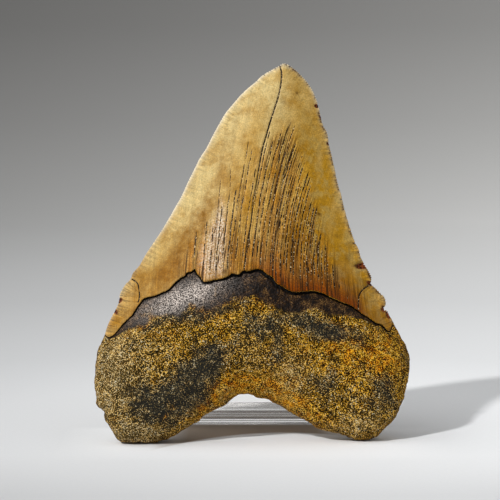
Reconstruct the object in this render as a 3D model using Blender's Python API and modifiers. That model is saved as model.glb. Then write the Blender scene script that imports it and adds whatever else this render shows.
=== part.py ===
"""Fossil megalodon tooth leaning on a clear stand bent from one sheet. Metres, +Z up, front towards -Y.

The tooth is drawn in its own plane first: x across to the viewer's right, z up the blade, both in millimetres,
and depth towards the viewer. It is then leant back, turned and set on the floor.
"""

import math

import bmesh
import bpy
import numpy as np
from mathutils import Matrix, Vector

MM = 0.001

# ---------------------------------------------------------------- how the tooth stands
LEAN_DEG = 15.0  # the blade leans back on to the stand
TURN_DEG = 3.6  # the right lobe sits a little further back than the left
TOOTH_X = -0.34  # mm, the blade's x = 0 line from the middle of the whole
TOOTH_Y = -25.43  # mm, the foot of the blade's plane
TOOTH_Z = -0.44  # mm, brings the lowest point of the lobes on to the floor

# ---------------------------------------------------------------- outline of the tooth, mm in its own plane
LEFT_CROWN = [
    (-49.3, 36.6), (-48.3, 40.0), (-47.3, 42.1), (-45.8, 45.0), (-44.8, 47.1), (-44.3, 49.3), (-44.1, 50.7),
    (-42.4, 53.8), (-40.5, 55.8), (-39.8, 57.7), (-37.6, 60.3), (-35.2, 64.4), (-32.4, 68.6), (-29.7, 72.7),
    (-27.2, 76.9), (-24.8, 81.1), (-22.5, 85.3), (-20.6, 89.5), (-18.5, 93.7), (-16.4, 97.9), (-14.3, 101.1),
    (-12.1, 105.4), (-10.0, 109.3), (-7.5, 113.6), (-4.9, 116.8), (-2.2, 120.0), (0.6, 122.7), (3.1, 124.8),
    (5.6, 127.2), (8.4, 129.0), (11.7, 130.8),
]  # fmt: skip
RIGHT_CROWN = [
    (48.7, 40.6), (47.9, 42.4), (47.1, 44.1), (45.9, 44.8), (46.7, 46.6), (46.3, 48.7), (44.7, 50.6),
    (43.0, 52.3), (41.8, 53.5), (42.0, 56.0), (41.0, 58.2), (38.6, 62.6), (37.9, 65.4), (36.6, 68.2),
    (35.4, 72.1), (34.1, 76.6), (33.1, 80.9), (32.2, 85.1), (31.1, 89.3), (30.3, 93.6), (29.4, 98.5),
    (28.5, 102.5), (27.9, 106.9), (26.5, 109.6), (25.8, 112.8), (24.9, 117.1), (23.5, 121.2), (21.3, 125.0),
    (18.7, 127.9), (17.3, 129.3), (15.8, 130.5),
]  # fmt: skip
TIP = [(11.7, 130.8), (12.7, 131.4), (13.9, 131.4), (14.9, 131.0), (15.8, 130.5)]
LEFT_ROOT = [
    (-46.8, 4.1), (-48.3, 6.5), (-49.4, 8.7), (-49.6, 10.7), (-51.4, 12.2), (-52.3, 16.6), (-52.6, 20.6),
    (-52.5, 25.3), (-51.8, 28.7), (-51.6, 31.5), (-50.4, 33.9), (-49.3, 36.6),
]  # fmt: skip
RIGHT_ROOT = [
    (44.5, 3.5), (46.9, 5.7), (49.2, 8.9), (50.4, 11.6), (51.7, 15.3), (52.7, 18.9), (53.8, 24.3),
    (53.9, 28.5), (53.3, 30.5), (52.6, 33.0), (51.0, 35.9), (48.7, 40.6),
]  # fmt: skip
BASAL_EDGE = [
    (-46.8, 4.1), (-45.3, 1.6), (-43.8, 0.4), (-41.4, 0.2), (-34.4, 0.1), (-30.9, 0.6), (-26.2, 2.2),
    (-21.5, 4.9), (-17.8, 7.1), (-16.1, 8.9), (-11.7, 11.2), (-8.4, 13.2), (-6.3, 14.8), (-4.6, 15.8),
    (-1.9, 16.0), (0.3, 15.6), (2.5, 14.7), (4.5, 14.4), (7.2, 13.2), (9.6, 12.2), (12.2, 10.1), (15.6, 8.5),
    (18.9, 6.6), (22.2, 4.3), (24.3, 3.3), (28.6, 2.4), (33.0, 1.0), (35.4, 0.3), (39.8, 0.3), (42.2, 1.1),
    (44.5, 3.5),
]  # fmt: skip
# The lower edge of the enamel on the front, with the peeled flake at x = -18.
FRONT_GUM_LINE = [
    (-49.3, 36.6), (-47.9, 36.1), (-46.2, 36.9), (-43.8, 39.5), (-42.1, 41.3), (-40.1, 43.1), (-37.7, 46.7),
    (-35.9, 48.6), (-33.3, 49.1), (-30.6, 49.9), (-27.9, 51.0), (-25.7, 53.1), (-23.9, 54.7), (-21.5, 56.5),
    (-18.9, 57.5), (-17.7, 55.8), (-16.1, 53.3), (-12.2, 53.8), (-9.7, 54.1), (-7.5, 54.9), (-5.2, 55.6),
    (-2.8, 56.7), (1.9, 57.2), (4.6, 56.3), (7.2, 54.3), (9.6, 51.8), (12.3, 50.1), (15.3, 49.7),
    (21.5, 50.0), (25.0, 49.0), (27.8, 47.8), (30.9, 46.5), (34.1, 45.5), (36.1, 44.3), (38.2, 42.8),
    (40.7, 41.4), (43.0, 39.8), (45.3, 39.0), (47.2, 38.5), (48.7, 40.6),
]  # fmt: skip
# The enamel reaches lower on the back, in a shallow double wave.
BACK_GUM_LINE = [
    (-49.3, 36.6), (-46.0, 36.5), (-38.0, 38.4), (-29.0, 40.2), (-19.0, 41.4), (-10.0, 43.6), (0.0, 45.2),
    (9.0, 44.0), (18.0, 41.9), (28.0, 40.5), (37.0, 38.8), (44.0, 37.8), (48.7, 40.6),
]  # fmt: skip

# ---------------------------------------------------------------- depth of the tooth, mm
# Smooth edges of the blade by height, from which chips are cut: height, left x, right x.
BLADE_EDGES = [
    (20.0, -53.2, 54.2), (35.9, -49.5, 50.4), (41.4, -47.6, 48.8), (47.6, -44.9, 46.5), (53.5, -42.0, 43.4),
    (60.1, -37.7, 40.2), (68.4, -32.5, 36.9), (81.0, -24.9, 33.2), (93.6, -18.6, 30.5), (105.3, -12.2, 28.3),
    (116.8, -4.9, 25.1), (124.6, 3.0, 21.6), (129.3, 9.2, 17.7), (131.6, 12.6, 14.6),
]  # fmt: skip
FRONT_CREST = [
    (20.0, 19.0), (36.0, 18.5), (48.0, 17.0), (60.0, 14.6), (75.0, 11.4), (90.0, 8.5), (105.0, 6.1),
    (118.0, 4.1), (127.0, 2.2), (132.0, 0.6),
]  # fmt: skip
BACK_CREST = [(20.0, 4.0), (45.0, 3.8), (60.0, 3.4), (80.0, 2.7), (100.0, 1.9), (118.0, 1.1), (132.0, 0.3)]
BLADE_POWER = 1.25  # over 1 makes the blade's edges thin and hollow, as a cutting edge is
EDGE_WALL = 0.5  # thickness left at the cutting edge
LOBE_DEPTH = 9.5  # the root's front at its lobes, over its rim
BOSS_DEPTH = 17.5  # the root's front at the swelling over the arch
BOSS_X = 1.0
BOSS_HALF_WIDTH = 31.0
BOSS_FOOT_Z = 8.0
BOSS_TOP_Z = 36.0
ROOT_BACK_DEPTH = 5.5
ROOT_BACK_HOLLOW = 1.6  # the back of the root is slightly hollow between its lobes
ROOT_EDGE_REACH = 13.0  # how far in from its outline the root is rounded
BACK_EDGE_REACH = 8.0
RIM_FORWARD = 1.5  # the root's rim stands this far in front of the cutting edge's plane
FRONT_NECK = (57.0, 0.0085)  # height of the neck on the front at x = 0, and its fall with x squared
BACK_NECK = (44.5, 0.0033)
NECK_BELOW = 11.0  # the root turns into the blade from this far under the neck to this far over it
NECK_ABOVE = 6.0
ENAMEL_STEP = 0.8  # the enamel stands this proud of the root
ENAMEL_GAP = 0.35  # width of the step, in the plane

# ---------------------------------------------------------------- mesh of the tooth
COLUMNS = 38
ROOT_ROWS = 18
CROWN_ROWS = 31

# ---------------------------------------------------------------- stand, mm
STAND_WIDTH = 48.0
STAND_X = 0.4
SHEET = 3.0
STAND_HEIGHT = 76.0
UPRIGHT_FRONT_Y = -1.12  # front face of the upright
FOOT_LENGTH = 37.0  # from the upright's front face to the back edge of the foot
BEND_RADIUS = 7.0  # outside of the bend
BEND_STEPS = 10
STAND_EDGE = 0.4  # polished edge


def clear_scene():
    for obj in list(bpy.data.objects):
        bpy.data.objects.remove(obj, do_unlink=True)
    for group in list(bpy.data.collections):
        bpy.data.collections.remove(group)


def smoothstep(low, high, value):
    t = np.clip((value - low) / (high - low), 0.0, 1.0)
    return t * t * (3.0 - 2.0 * t)


def smooth_table(table, column, at):
    """A smooth curve through one column of a table by height, with no overshoot to speak of."""
    heights = np.array([row[0] for row in table])
    values = np.array([row[column] for row in table])
    slopes = np.gradient(values, heights)
    at = np.clip(at, heights[0], heights[-1])
    i = np.clip(np.searchsorted(heights, at) - 1, 0, len(heights) - 2)
    span = heights[i + 1] - heights[i]
    t = (at - heights[i]) / span
    return (
        (2 * t**3 - 3 * t**2 + 1) * values[i]
        + (t**3 - 2 * t**2 + t) * span * slopes[i]
        + (3 * t**2 - 2 * t**3) * values[i + 1]
        + (t**3 - t**2) * span * slopes[i + 1]
    )


def along(points, fractions):
    """Points at these fractions of a line's length."""
    points = np.array(points, float)
    length = np.concatenate([[0.0], np.cumsum(np.hypot(*np.diff(points, axis=0).T))])
    at = np.asarray(fractions) * length[-1]
    return np.stack([np.interp(at, length, points[:, 0]), np.interp(at, length, points[:, 1])], axis=1)


def across(points, fractions):
    """Points at these fractions of a line's span in x."""
    points = np.array(points, float)
    x = points[0, 0] + np.asarray(fractions) * (points[-1, 0] - points[0, 0])
    return np.stack([x, np.interp(x, points[:, 0], points[:, 1])], axis=1)


def outline():
    """The whole outline, counter-clockwise from the lower left corner."""
    ring = BASAL_EDGE + RIGHT_ROOT[1:] + RIGHT_CROWN[1:] + TIP[::-1][1:]
    return np.array(ring + LEFT_CROWN[::-1][1:] + LEFT_ROOT[::-1][1:-1], float)


def distance_to_outline(x, z):
    start = outline()
    side = np.roll(start, -1, axis=0) - start
    px = x[..., None] - start[:, 0]
    pz = z[..., None] - start[:, 1]
    t = np.clip((px * side[:, 0] + pz * side[:, 1]) / (side**2).sum(axis=1), 0.0, 1.0)
    return np.hypot(px - t * side[:, 0], pz - t * side[:, 1]).min(axis=-1)


def rounded(distance, reach):
    """Rises from 0 at the outline to 1, as a quarter of a circle does."""
    t = np.clip(distance / reach, 0.0, 1.0)
    return np.sqrt(1.0 - (1.0 - t) ** 2)


def blade(x, z, crest, power):
    left = smooth_table(BLADE_EDGES, 1, z)
    right = smooth_table(BLADE_EDGES, 2, z)
    side = np.clip((x - (left + right) / 2) / ((right - left) / 2), -1.0, 1.0)
    return smooth_table(crest, 1, z) * (1.0 - side**2) ** power


def rim_depth(z):
    return RIM_FORWARD * (1.0 - smoothstep(22.0, 52.0, z))


def blade_share(x, z, neck):
    """0 in the root and 1 in the blade."""
    return smoothstep(-NECK_BELOW, NECK_ABOVE, z - neck[0] + neck[1] * x**2)


def front_depth(x, z):
    boss = np.exp(-(((x - BOSS_X) / BOSS_HALF_WIDTH) ** 2)) * smoothstep(BOSS_FOOT_Z, BOSS_TOP_Z, z)
    root = LOBE_DEPTH + (BOSS_DEPTH - LOBE_DEPTH) * boss
    root = root * rounded(distance_to_outline(x, z), ROOT_EDGE_REACH)
    share = blade_share(x, z, FRONT_NECK)
    swell = root * (1.0 - share) + blade(x, z, FRONT_CREST, BLADE_POWER) * share
    return rim_depth(z) + EDGE_WALL / 2 + swell


def back_depth(x, z):
    hollow = ROOT_BACK_HOLLOW * np.exp(-((x / 22.0) ** 2))
    root = (ROOT_BACK_DEPTH - hollow) * rounded(distance_to_outline(x, z), BACK_EDGE_REACH)
    share = blade_share(x, z, BACK_NECK)
    swell = root * (1.0 - share) + blade(x, z, BACK_CREST, 0.9) * share
    return rim_depth(z) - EDGE_WALL / 2 - swell


def patch(bottom, top, left, right, u, v):
    """A grid of points that blends four boundary lines (a Coons patch)."""
    u = u[None, :, None]
    v = v[:, None, None]
    ruled_up = (1 - v) * bottom[None] + v * top[None]
    ruled_across = (1 - u) * left[:, None] + u * right[:, None]
    corners = (1 - v) * ((1 - u) * bottom[0] + u * bottom[-1]) + v * ((1 - u) * top[0] + u * top[-1])
    return ruled_up + ruled_across - corners


def face_points(gum_line, depth, side):
    """Rows of points over one face of the tooth, from the basal edge to the tip. side is 1 in front, -1 behind."""
    u = 0.5 - 0.5 * np.cos(np.linspace(0.0, math.pi, COLUMNS + 1))
    u = 0.6 * u + 0.4 * np.linspace(0.0, 1.0, COLUMNS + 1)
    root_v = np.linspace(0.0, 1.0, ROOT_ROWS + 1) ** 1.25
    crown_v = np.linspace(0.0, 1.0, CROWN_ROWS)
    gum = across(gum_line, u)
    below = gum - [0.0, ENAMEL_GAP]
    root = patch(
        along(BASAL_EDGE, u), below, along(LEFT_ROOT, root_v), along(RIGHT_ROOT, root_v), u, root_v
    )
    crown = patch(gum, along(TIP, u), np.array(LEFT_CROWN), np.array(RIGHT_CROWN), u, crown_v)
    plane = np.concatenate([root, crown])
    x = plane[..., 0]
    z = plane[..., 1]
    gum_z = np.interp(x, *np.array(gum_line, float).T)
    deep = depth(x, z)
    # The step fades out at the two ends of the enamel's edge, and over the shoulder under it.
    inwards = smoothstep(0.0, 5.0, distance_to_outline(x, z))
    step = ENAMEL_STEP * inwards * (1.0 - smoothstep(2.0, 12.0, gum_z - z))
    is_root = (np.arange(len(plane)) <= ROOT_ROWS)[:, None]
    deep = deep - side * np.where(is_root, step, 0.0)
    return np.stack([x, z, deep], axis=-1)


def tooth_placing():
    lean = Matrix.Rotation(-math.radians(LEAN_DEG), 4, "X")
    turn = Matrix.Rotation(math.radians(TURN_DEG), 4, "Z")
    return Matrix.Translation(Vector((TOOTH_X, TOOTH_Y, TOOTH_Z)) * MM) @ turn @ lean


def add_grid(mesh, points):
    """A grid of faces moved on to these rows of points. Returns its vertices."""
    rows, columns = points.shape[:2]
    made = bmesh.ops.create_grid(mesh, x_segments=columns - 1, y_segments=rows - 1, size=0.5)["verts"]
    for vertex in made:
        column = round((vertex.co.x + 0.5) * (columns - 1))
        row = round((vertex.co.y + 0.5) * (rows - 1))
        x, z, deep = points[row, column]
        vertex.co = Vector((x, -deep, z)) * MM
    return made


def make_tooth(group):
    mesh = bmesh.new()
    add_grid(mesh, face_points(FRONT_GUM_LINE, front_depth, 1))
    add_grid(mesh, face_points(BACK_GUM_LINE, back_depth, -1))
    rims = [edge for edge in mesh.edges if edge.is_boundary]
    bmesh.ops.bridge_loops(mesh, edges=rims)
    bmesh.ops.recalc_face_normals(mesh, faces=mesh.faces)
    mesh.transform(tooth_placing())
    return add_object("tooth", mesh, group)


def sheet_section():
    """Side view of the bent sheet as (y, z) points: the outside of the bend, then the inside back again."""
    centre_y = UPRIGHT_FRONT_Y + BEND_RADIUS
    angles = [math.pi + i * math.pi / 2 / BEND_STEPS for i in range(BEND_STEPS + 1)]

    def bend(radius):
        return [(centre_y + radius * math.cos(a), BEND_RADIUS + radius * math.sin(a)) for a in angles]

    back_y = UPRIGHT_FRONT_Y + FOOT_LENGTH
    outside = [(UPRIGHT_FRONT_Y, STAND_HEIGHT)] + bend(BEND_RADIUS) + [(back_y, 0.0)]
    inside = [(UPRIGHT_FRONT_Y + SHEET, STAND_HEIGHT)] + bend(BEND_RADIUS - SHEET) + [(back_y, SHEET)]
    return outside + inside[::-1]


def make_stand(group):
    mesh = bmesh.new()
    left_x = STAND_X - STAND_WIDTH / 2
    ring = [mesh.verts.new(Vector((left_x, y, z)) * MM) for y, z in sheet_section()]
    side = mesh.faces.new(ring)
    pulled = bmesh.ops.extrude_face_region(mesh, geom=[side])["geom"]
    moved = [item for item in pulled if isinstance(item, bmesh.types.BMVert)]
    bmesh.ops.translate(mesh, verts=moved, vec=Vector((STAND_WIDTH, 0.0, 0.0)) * MM)
    bmesh.ops.recalc_face_normals(mesh, faces=mesh.faces)
    stand = add_object("stand", mesh, group)
    edge = stand.modifiers.new("polished_edges", "BEVEL")
    edge.width = STAND_EDGE * MM
    edge.segments = 2
    edge.limit_method = "ANGLE"
    edge.angle_limit = math.radians(40.0)
    return stand


def add_object(name, mesh, group):
    data = bpy.data.meshes.new(name)
    mesh.to_mesh(data)
    mesh.free()
    obj = bpy.data.objects.new(name, data)
    group.objects.link(obj)
    return obj


def set_material(obj, colour, roughness, alpha=1.0, transmission=0.0):
    material = bpy.data.materials.new(obj.name)
    material.use_nodes = True
    shader = material.node_tree.nodes["Principled BSDF"]
    shader.inputs["Base Color"].default_value = (*colour, 1.0)
    shader.inputs["Roughness"].default_value = roughness
    shader.inputs["Alpha"].default_value = alpha
    shader.inputs["Transmission Weight"].default_value = transmission
    obj.data.materials.append(material)


clear_scene()
whole = bpy.data.collections.new("megalodon_tooth_on_stand")
bpy.context.scene.collection.children.link(whole)
set_material(make_tooth(whole), (0.36, 0.24, 0.11), 0.5)
set_material(make_stand(whole), (0.95, 0.97, 0.97), 0.05, alpha=0.35, transmission=1.0)
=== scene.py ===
"""A fossil megalodon tooth leaning on a clear acrylic stand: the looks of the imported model.

The tooth is drawn in its own plane, in millimetres: x across to the viewer's right, z up the blade, and depth
towards the viewer. It is then leant back, turned and set on the floor, as its CAD solid is.
"""

import math

import bmesh
import bpy
import numpy as np
from mathutils import Matrix, Vector, kdtree, noise
from mathutils.geometry import delaunay_2d_cdt


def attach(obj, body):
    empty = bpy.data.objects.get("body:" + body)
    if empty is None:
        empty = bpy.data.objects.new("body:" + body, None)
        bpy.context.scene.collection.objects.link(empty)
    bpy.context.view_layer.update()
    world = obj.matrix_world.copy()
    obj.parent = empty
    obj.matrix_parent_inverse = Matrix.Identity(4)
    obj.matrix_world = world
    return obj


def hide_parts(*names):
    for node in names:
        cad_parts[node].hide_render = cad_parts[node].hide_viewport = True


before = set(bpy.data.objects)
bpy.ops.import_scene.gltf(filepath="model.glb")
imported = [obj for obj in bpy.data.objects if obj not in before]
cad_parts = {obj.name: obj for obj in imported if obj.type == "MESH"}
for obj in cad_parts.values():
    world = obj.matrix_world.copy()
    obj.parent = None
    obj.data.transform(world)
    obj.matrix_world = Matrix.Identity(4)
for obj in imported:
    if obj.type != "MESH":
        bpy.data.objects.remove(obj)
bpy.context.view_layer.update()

MM = 0.001

# ---- camera, from the photograph
CAMERA_MM = (-1.01, -648.05, 118.9)
CAMERA_DOWN_DEG = 5.0
CAMERA_LENS = 134.92

# ---- how the tooth stands, as in CAD
LEAN_DEG = 15.0
TURN_DEG = 3.6
TOOTH_X = -0.34
TOOTH_Y = -25.43
TOOTH_Z = -0.44

# ---- outline of the tooth, mm in its own plane
LEFT_CROWN = [
    (-49.3, 36.6), (-48.3, 40), (-47.3, 42.1), (-45.8, 45), (-44.8, 47.1), (-44.3, 49.3), (-44.1, 50.7),
    (-42.4, 53.8), (-40.5, 55.8), (-39.8, 57.7), (-37.6, 60.3), (-35.2, 64.4), (-32.4, 68.6), (-29.7, 72.7),
    (-27.2, 76.9), (-24.8, 81.1), (-22.5, 85.3), (-20.6, 89.5), (-18.5, 93.7), (-16.4, 97.9), (-14.3, 101.1),
    (-12.1, 105.4), (-10, 109.3), (-7.5, 113.6), (-4.9, 116.8), (-2.2, 120), (0.6, 122.7), (3.1, 124.8),
    (5.6, 127.2), (8.4, 129), (11.7, 130.8),
]  # fmt: skip
RIGHT_CROWN = [
    (48.7, 40.6), (47.9, 42.4), (47.1, 44.1), (45.9, 44.8), (46.7, 46.6), (46.3, 48.7), (44.7, 50.6),
    (43, 52.3), (41.8, 53.5), (42, 56), (41, 58.2), (38.6, 62.6), (37.9, 65.4), (36.6, 68.2),
    (35.4, 72.1), (34.1, 76.6), (33.1, 80.9), (32.2, 85.1), (31.1, 89.3), (30.3, 93.6), (29.4, 98.5),
    (28.5, 102.5), (27.9, 106.9), (26.5, 109.6), (25.8, 112.8), (24.9, 117.1), (23.5, 121.2), (21.3, 125),
    (18.7, 127.9), (17.3, 129.3), (15.8, 130.5),
]  # fmt: skip
TIP = [(11.7, 130.8), (12.7, 131.4), (13.9, 131.4), (14.9, 131), (15.8, 130.5)]
LEFT_ROOT = [
    (-46.8, 4.1), (-48.3, 6.5), (-49.4, 8.7), (-49.6, 10.7), (-51.4, 12.2), (-52.3, 16.6), (-52.6, 20.6),
    (-52.5, 25.3), (-51.8, 28.7), (-51.6, 31.5), (-50.4, 33.9), (-49.3, 36.6),
]  # fmt: skip
RIGHT_ROOT = [
    (44.5, 3.5), (46.9, 5.7), (49.2, 8.9), (50.4, 11.6), (51.7, 15.3), (52.7, 18.9), (53.8, 24.3),
    (53.9, 28.5), (53.3, 30.5), (52.6, 33), (51, 35.9), (48.7, 40.6),
]  # fmt: skip
BASAL_EDGE = [
    (-46.8, 4.1), (-45.3, 1.6), (-43.8, 0.4), (-41.4, 0.2), (-34.4, 0.1), (-30.9, 0.6), (-26.2, 2.2),
    (-21.5, 4.9), (-17.8, 7.1), (-16.1, 8.9), (-11.7, 11.2), (-8.4, 13.2), (-6.3, 14.8), (-4.6, 15.8),
    (-1.9, 16), (0.3, 15.6), (2.5, 14.7), (4.5, 14.4), (7.2, 13.2), (9.6, 12.2), (12.2, 10.1), (15.6, 8.5),
    (18.9, 6.6), (22.2, 4.3), (24.3, 3.3), (28.6, 2.4), (33, 1), (35.4, 0.3), (39.8, 0.3), (42.2, 1.1),
    (44.5, 3.5),
]  # fmt: skip

# The lower edge of the enamel on the front. The peeled flake reaches over it at x = -18.
FRONT_GUM_LINE = [
    (-49.3, 36.6), (-47.8, 35.6), (-46.1, 36.3), (-45.1, 37.3), (-43.8, 39), (-42.1, 40.8), (-40.1, 42.6),
    (-39.1, 44.3), (-37.7, 46.4), (-35.9, 48.4), (-33.3, 48.8), (-30.7, 49.5), (-28, 50.6), (-25.8, 52.8),
    (-23.9, 54.4), (-22.3, 55.2), (-21.6, 56.3), (-20.2, 56.5), (-18.9, 57.4), (-18.1, 55.5), (-17.2, 54.5),
    (-16.2, 52.6), (-14.4, 52.7), (-12.4, 53.1), (-9.9, 53.4), (-7.8, 54.2), (-6.8, 55), (-4.5, 54.6),
    (-3.1, 55.9), (-0.9, 55.8), (1.6, 56.5), (3.8, 55.8), (5, 54.5), (6.9, 53.5), (7.8, 51.8), (10.1, 50.4),
    (11.8, 49.3), (14.1, 48.6), (17.6, 48.9), (21, 49.2), (24.5, 48.3), (27.2, 47.1), (30.3, 45.8),
    (33.5, 44.8), (35.5, 43.5), (37.6, 42), (40.1, 40.7), (42.3, 39.2), (44.4, 38.8), (45.8, 37.4),
    (46.9, 36.8), (47.9, 38.2), (48.7, 40.6),
]  # fmt: skip
BACK_GUM_LINE = [
    (-49.3, 36.6), (-46, 36.5), (-38, 38.4), (-29, 40.2), (-19, 41.4), (-10, 43.6), (0, 45.2),
    (9, 44), (18, 41.9), (28, 40.5), (37, 38.8), (44, 37.8), (48.7, 40.6),
]  # fmt: skip
# The black crack under the enamel's edge: x, width.
GUM_CRACK = [
    (-49, 0.2), (-40, 0.35), (-35, 0.5), (-26, 0.5), (-20, 0.45), (-17, 0.3), (-14.5, 0.9),
    (-11, 0.55), (-8.5, 0.8), (-5, 0.9), (0, 0.8), (5, 1), (9, 1.1), (14, 0.9), (20, 0.7),
    (27, 0.55), (35, 0.4), (49, 0.2),
]  # fmt: skip
# The dark band of thin enamel under the crown: x, height.
BAND = [(-49, 0.4), (-44, 1.5), (-36, 6.5), (-25, 9.5), (-14, 10), (-4, 9), (5, 8), (14, 7),
        (25, 6.5), (33, 4), (38, 1.6), (44, 0.8), (49, 0.3)]  # fmt: skip

# ---- depth of the tooth, mm, as in CAD
BLADE_EDGES = [
    (20, -53.2, 54.2), (35.9, -49.5, 50.4), (41.4, -47.6, 48.8), (47.6, -44.9, 46.5), (53.5, -42, 43.4),
    (60.1, -37.7, 40.2), (68.4, -32.5, 36.9), (81, -24.9, 33.2), (93.6, -18.6, 30.5), (105.3, -12.2, 28.3),
    (116.8, -4.9, 25.1), (124.6, 3, 21.6), (129.3, 9.2, 17.7), (131.6, 12.6, 14.6),
]  # fmt: skip
FRONT_CREST = [
    (20, 19), (36, 18.5), (48, 17), (60, 14.6), (75, 11.4), (90, 8.5), (105, 6.1),
    (118, 4.1), (127, 2.2), (132, 0.6),
]  # fmt: skip
BACK_CREST = [(20, 4), (45, 3.8), (60, 3.4), (80, 2.7), (100, 1.9), (118, 1.1), (132, 0.3)]
BLADE_POWER = 1.25
BACK_POWER = 0.9
EDGE_WALL = 0.5
LOBE_DEPTH = 9.5
BOSS_DEPTH = 17.5
BOSS_X = 1.0
BOSS_HALF_WIDTH = 31.0
BOSS_FOOT_Z = 8.0
BOSS_TOP_Z = 36.0
ROOT_BACK_DEPTH = 5.5
ROOT_BACK_HOLLOW = 1.6
HOLLOW_HALF_WIDTH = 22.0
ROOT_EDGE_REACH = 13.0
BACK_EDGE_REACH = 8.0
RIM_FORWARD = 1.5  # at the root, fading to nothing between these heights
RIM_FORWARD_FADES = (22.0, 52.0)
FRONT_NECK = (57.0, 0.0085)
BACK_NECK = (44.5, 0.0033)
NECK_BELOW = 11.0
NECK_ABOVE = 6.0
ENAMEL_STEP = 0.8

# ---- stand, mm, as in CAD
STAND_WIDTH = 48.0
STAND_X = 0.4
SHEET = 3.0
STAND_HEIGHT = 76.0
UPRIGHT_FRONT_Y = -1.12
FOOT_LENGTH = 37.0
BEND_RADIUS = 7.0
BEND_STEPS = 72
STAND_RIPPLE = 0.10
RIPPLE_STEPS = 8.0
STAND_EDGE = 0.4

# ---- fine shapes, mm
SERRATION_PITCH = 0.85
SERRATION_DEPTH = 0.48
CROWN_STEP = 0.2125  # rim points on the cutting edges, four to a serration
ROOT_STEP = 0.45
FRONT_GRID = 0.44
FRONT_GAP = 0.28  # the grid's least distance from placed points
BACK_GRID = 0.8
BACK_GAP = 0.4
PLACED_GAP = 0.045  # placed points' least distance from the rim
SAME_PLACE = 1e-4
FLOOR_GAP = 0.05  # the least height of any point of the tooth
ROOT_RINGS = (0.06, 0.22, 0.48, 0.85)  # rows of points just inside the root's rim, where it turns

# Long cracks, up the blade from its base: half width, depth, then the points.
LONG_CRACKS = [
    (0.34, 0.36, [(-2.7, 56.2), (-2, 60.7), (-1.4, 64.6), (-0.4, 70.2), (0.3, 74.2), (1, 79.9), (1.9, 84.6),
                  (2.8, 88.9), (3.8, 94.7), (5, 100.2), (6.1, 103.8), (7.6, 108.9), (9.3, 113.9),
                  (10.9, 118.9), (11.9, 123.4), (12.3, 127.6), (11.9, 130.1)]),
    (0.22, 0.15, [(-7.3, 60.8), (-6.1, 67.6), (-4.9, 73.3), (-3.8, 80.1), (-3.2, 84.8), (-2.2, 89.8),
                  (-0.7, 97.8), (0.6, 105.5)]),
    (0.24, 0.18, [(3, 61), (4.2, 70.2), (5.2, 75.2), (7, 82), (8.6, 88.9), (10.1, 93.6), (11.4, 100.6),
                  (12.6, 104.2), (14.5, 109.1)]),
    (0.21, 0.14, [(9.8, 78), (11.5, 89), (13.2, 96.3), (14.3, 101)]),
    (0.21, 0.14, [(-12.9, 58), (-10.6, 66.7), (-9.2, 70.6), (-7.9, 78.2), (-6.7, 83.9), (-6.1, 95.3)]),
    (0.21, 0.14, [(-13.2, 64), (-11.6, 72.6), (-10.5, 80.6), (-9.4, 91.2)]),
    (0.28, 0.25, [(-40, 55.7), (-38.2, 54.1), (-37.7, 51.9), (-37.5, 48.8), (-38, 47.2)]),
    (0.21, 0.15, [(-40.9, 54), (-39, 52.4), (-37.7, 51.2)]),
    (0.30, 0.30, [(41.6, 53.4), (40.2, 52.4), (38.7, 51.3), (37.3, 49.5), (36.5, 47), (36.1, 43.6)]),
]  # fmt: skip

# The field of fine cracks: where one starts along the gum line decides how far up the blade it runs.
FINE_FIRST = -24.0
FINE_LAST = 34.0
FINE_SPACING = [(-24, 1.9), (-14, 1.5), (-5, 1.9), (3, 1.7), (6, 1), (34, 1)]  # start, gap
FINE_TOPS = [(-24, 68), (-20, 76), (-15, 86), (-9, 96), (-3, 108), (2.5, 114),
             (8, 105), (14, 95), (22, 80), (29, 67), (34, 57)]  # fmt: skip

BACK_CRACK_STARTS = (-24.0, -17.5, -12.0, -8.5, -3.0, 0.5, 4.0, 9.0, 12.0, 19.0, 25.5)

# The peeled flake beside the middle of the crown.
FLAKE = [
    (-9.5, 84), (-7.4, 79), (-7.2, 72), (-7.2, 65.9), (-7.4, 59), (-8.4, 54.4), (-12.4, 53.2),
    (-15.7, 52.6), (-17.9, 56.1), (-18.6, 59.8), (-17.4, 66), (-14, 75),
]  # fmt: skip

# The flake's palest streak, its pale colour partly a painted highlight: x, z, half width, half height, turn,
# strength.
FLAKE_RIDGE = (-11.2, 66.0, 2.6, 13.0, -12.0, 0.7)

# Chips out of the surface and small pits: x, z, half width, half height, turn, depth.
CHIPS = [
    (39, 59.8, 3, 1.3, 14, 0.9), (24.4, 116.2, 1, 0.8, -20, 0.5), (26, 112.4, 0.9, 0.9, 0, 0.5),
    (-41.6, 57.6, 1, 1.2, 40, 0.5), (-44.3, 48.4, 1.4, 0.9, 35, 0.5), (45.6, 44.4, 1, 0.8, 0, 0.5),
    (41.4, 53.6, 1.6, 0.9, -20, 0.5), (29.5, 15.7, 0.55, 0.5, 0, 0.9), (28.2, 102.8, 0.7, 0.5, 0, 0.4),
    (47.3, 42.6, 0.9, 1.6, 10, 0.5), (-45.6, 44.6, 0.7, 1.4, 25, 0.4),
]  # fmt: skip

# A small dark knob at the foot of the flake: x, z, half width, half height, turn, height.
KNOB = (-9.2, 55.8, 1.0, 0.85, 0.0, 0.6)

# Where the satin band has painted glints, pale specks that stand in for highlights: x, z, half width, half
# height, turn, strength.
GLINT_BAND = (-23.0, 47.3, 13.0, 4.2, 20.0, 1.1)

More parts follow.
